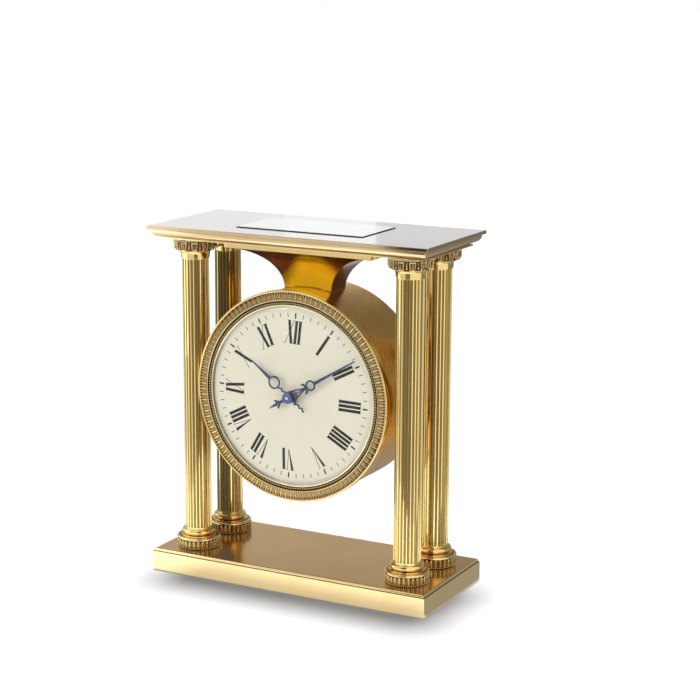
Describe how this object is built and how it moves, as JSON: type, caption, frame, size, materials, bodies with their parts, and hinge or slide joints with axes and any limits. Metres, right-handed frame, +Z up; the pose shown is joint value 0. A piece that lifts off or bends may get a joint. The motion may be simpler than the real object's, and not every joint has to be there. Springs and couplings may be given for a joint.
{
  "type": "desk clock",
  "caption": "Brass desk clock: round drum with a domed dial hung between four fluted columns, solar panel in the cornice.",
  "frame": {"origin": "centre of the base's underside, on the surface that the clock stands on", "axes": "+X to the right seen from the front, +Y to the back, +Z up; the dial faces -Y"},
  "size_m": [0.186, 0.0808, 0.2155],
  "materials": {
    "polished_brass": "mirror polished, lacquered",
    "fluted_brass": "bright, with darker flutes",
    "satin_brass": "fine satin brushed",
    "antique_brass": "bright relief over darkened ground",
    "felt": "matt wool felt",
    "steel": "turned and plated",
    "blued_steel": "heat blued, satin",
    "cream_enamel": "smooth cream",
    "clear_glass": "clear, polished",
    "solar_cell": "dark blue cell with fine contact lines",
    "black_plastic": "moulded, matt",
    "wire_cover": "smooth insulation",
    "cell_can": "drawn can"
  },
  "bodies": {
    "case": {"base_plate": "polished_brass", "base_felt": "felt", "tie_rods": "steel", "tie_rod_nuts": "steel", "foot_ring_front_left": "antique_brass", "foot_torus_front_left": "polished_brass", "shaft_front_left": "fluted_brass", "necking_front_left": "polished_brass", "capital_front_left": "antique_brass", "foot_ring_front_right": "antique_brass", "foot_torus_front_right": "polished_brass", "shaft_front_right": "fluted_brass", "necking_front_right": "polished_brass", "capital_front_right": "antique_brass", "foot_ring_back_left": "antique_brass", "foot_torus_back_left": "polished_brass", "shaft_back_left": "fluted_brass", "necking_back_left": "polished_brass", "capital_back_left": "antique_brass", "foot_ring_back_right": "antique_brass", "foot_torus_back_right": "polished_brass", "shaft_back_right": "fluted_brass", "necking_back_right": "polished_brass", "capital_back_right": "antique_brass", "lintel_plate": "polished_brass", "cornice": "polished_brass", "cornice_screws": "polished_brass", "soffit_plate": "polished_brass", "soffit_screws": "steel", "neck": "polished_brass", "neck_screws": "steel", "solar_tray": "black_plastic", "solar_cell": "solar_cell", "solar_glass": "clear_glass", "solar_lead": "wire_cover", "drum_shell": "satin_brass", "rear_cover": "polished_brass", "rear_cover_screws": "polished_brass", "bezel": "antique_brass", "bead_ring": "antique_brass", "sight_ring": "polished_brass", "crystal": "clear_glass", "dial": "cream_enamel", "dial_feet": "polished_brass", "carrier_plate": "steel", "carrier_screws": "steel", "movement_case": "black_plastic", "movement_lid": "steel", "movement_screws": "steel", "cell_holder": "black_plastic", "rechargeable_cell": "cell_can", "minute_post": "steel"},
    "minute_train": {"centre_arbor": "steel", "cannon_pinion": "steel", "minute_hand": "blued_steel", "hand_nut": "blued_steel", "setting_knob": "polished_brass"},
    "intermediate_wheel": {"minute_wheel": "polished_brass"},
    "hour_train": {"hour_wheel": "polished_brass", "hour_hand": "blued_steel"}
  },
  "joints": [
    {"name": "minute_hand_turn", "type": "hinge", "parent": "case", "child": "minute_train", "pos_m": [0, 0, 0.1186], "axis": [0, 1, 0], "continuous": true},
    {"name": "intermediate_wheel_turn", "type": "hinge", "parent": "case", "child": "intermediate_wheel", "pos_m": [-0.00983, 0, 0.11172], "axis": [0, 1, 0], "continuous": true},
    {"name": "hour_hand_turn", "type": "hinge", "parent": "case", "child": "hour_train", "pos_m": [0, 0, 0.1186], "axis": [0, 1, 0], "continuous": true}
  ],
  "couplings": [
    {"joint": "intermediate_wheel_turn", "follows": "minute_hand_turn", "ratio": -0.33333},
    {"joint": "hour_hand_turn", "follows": "minute_hand_turn", "ratio": 0.083333}
  ]
}
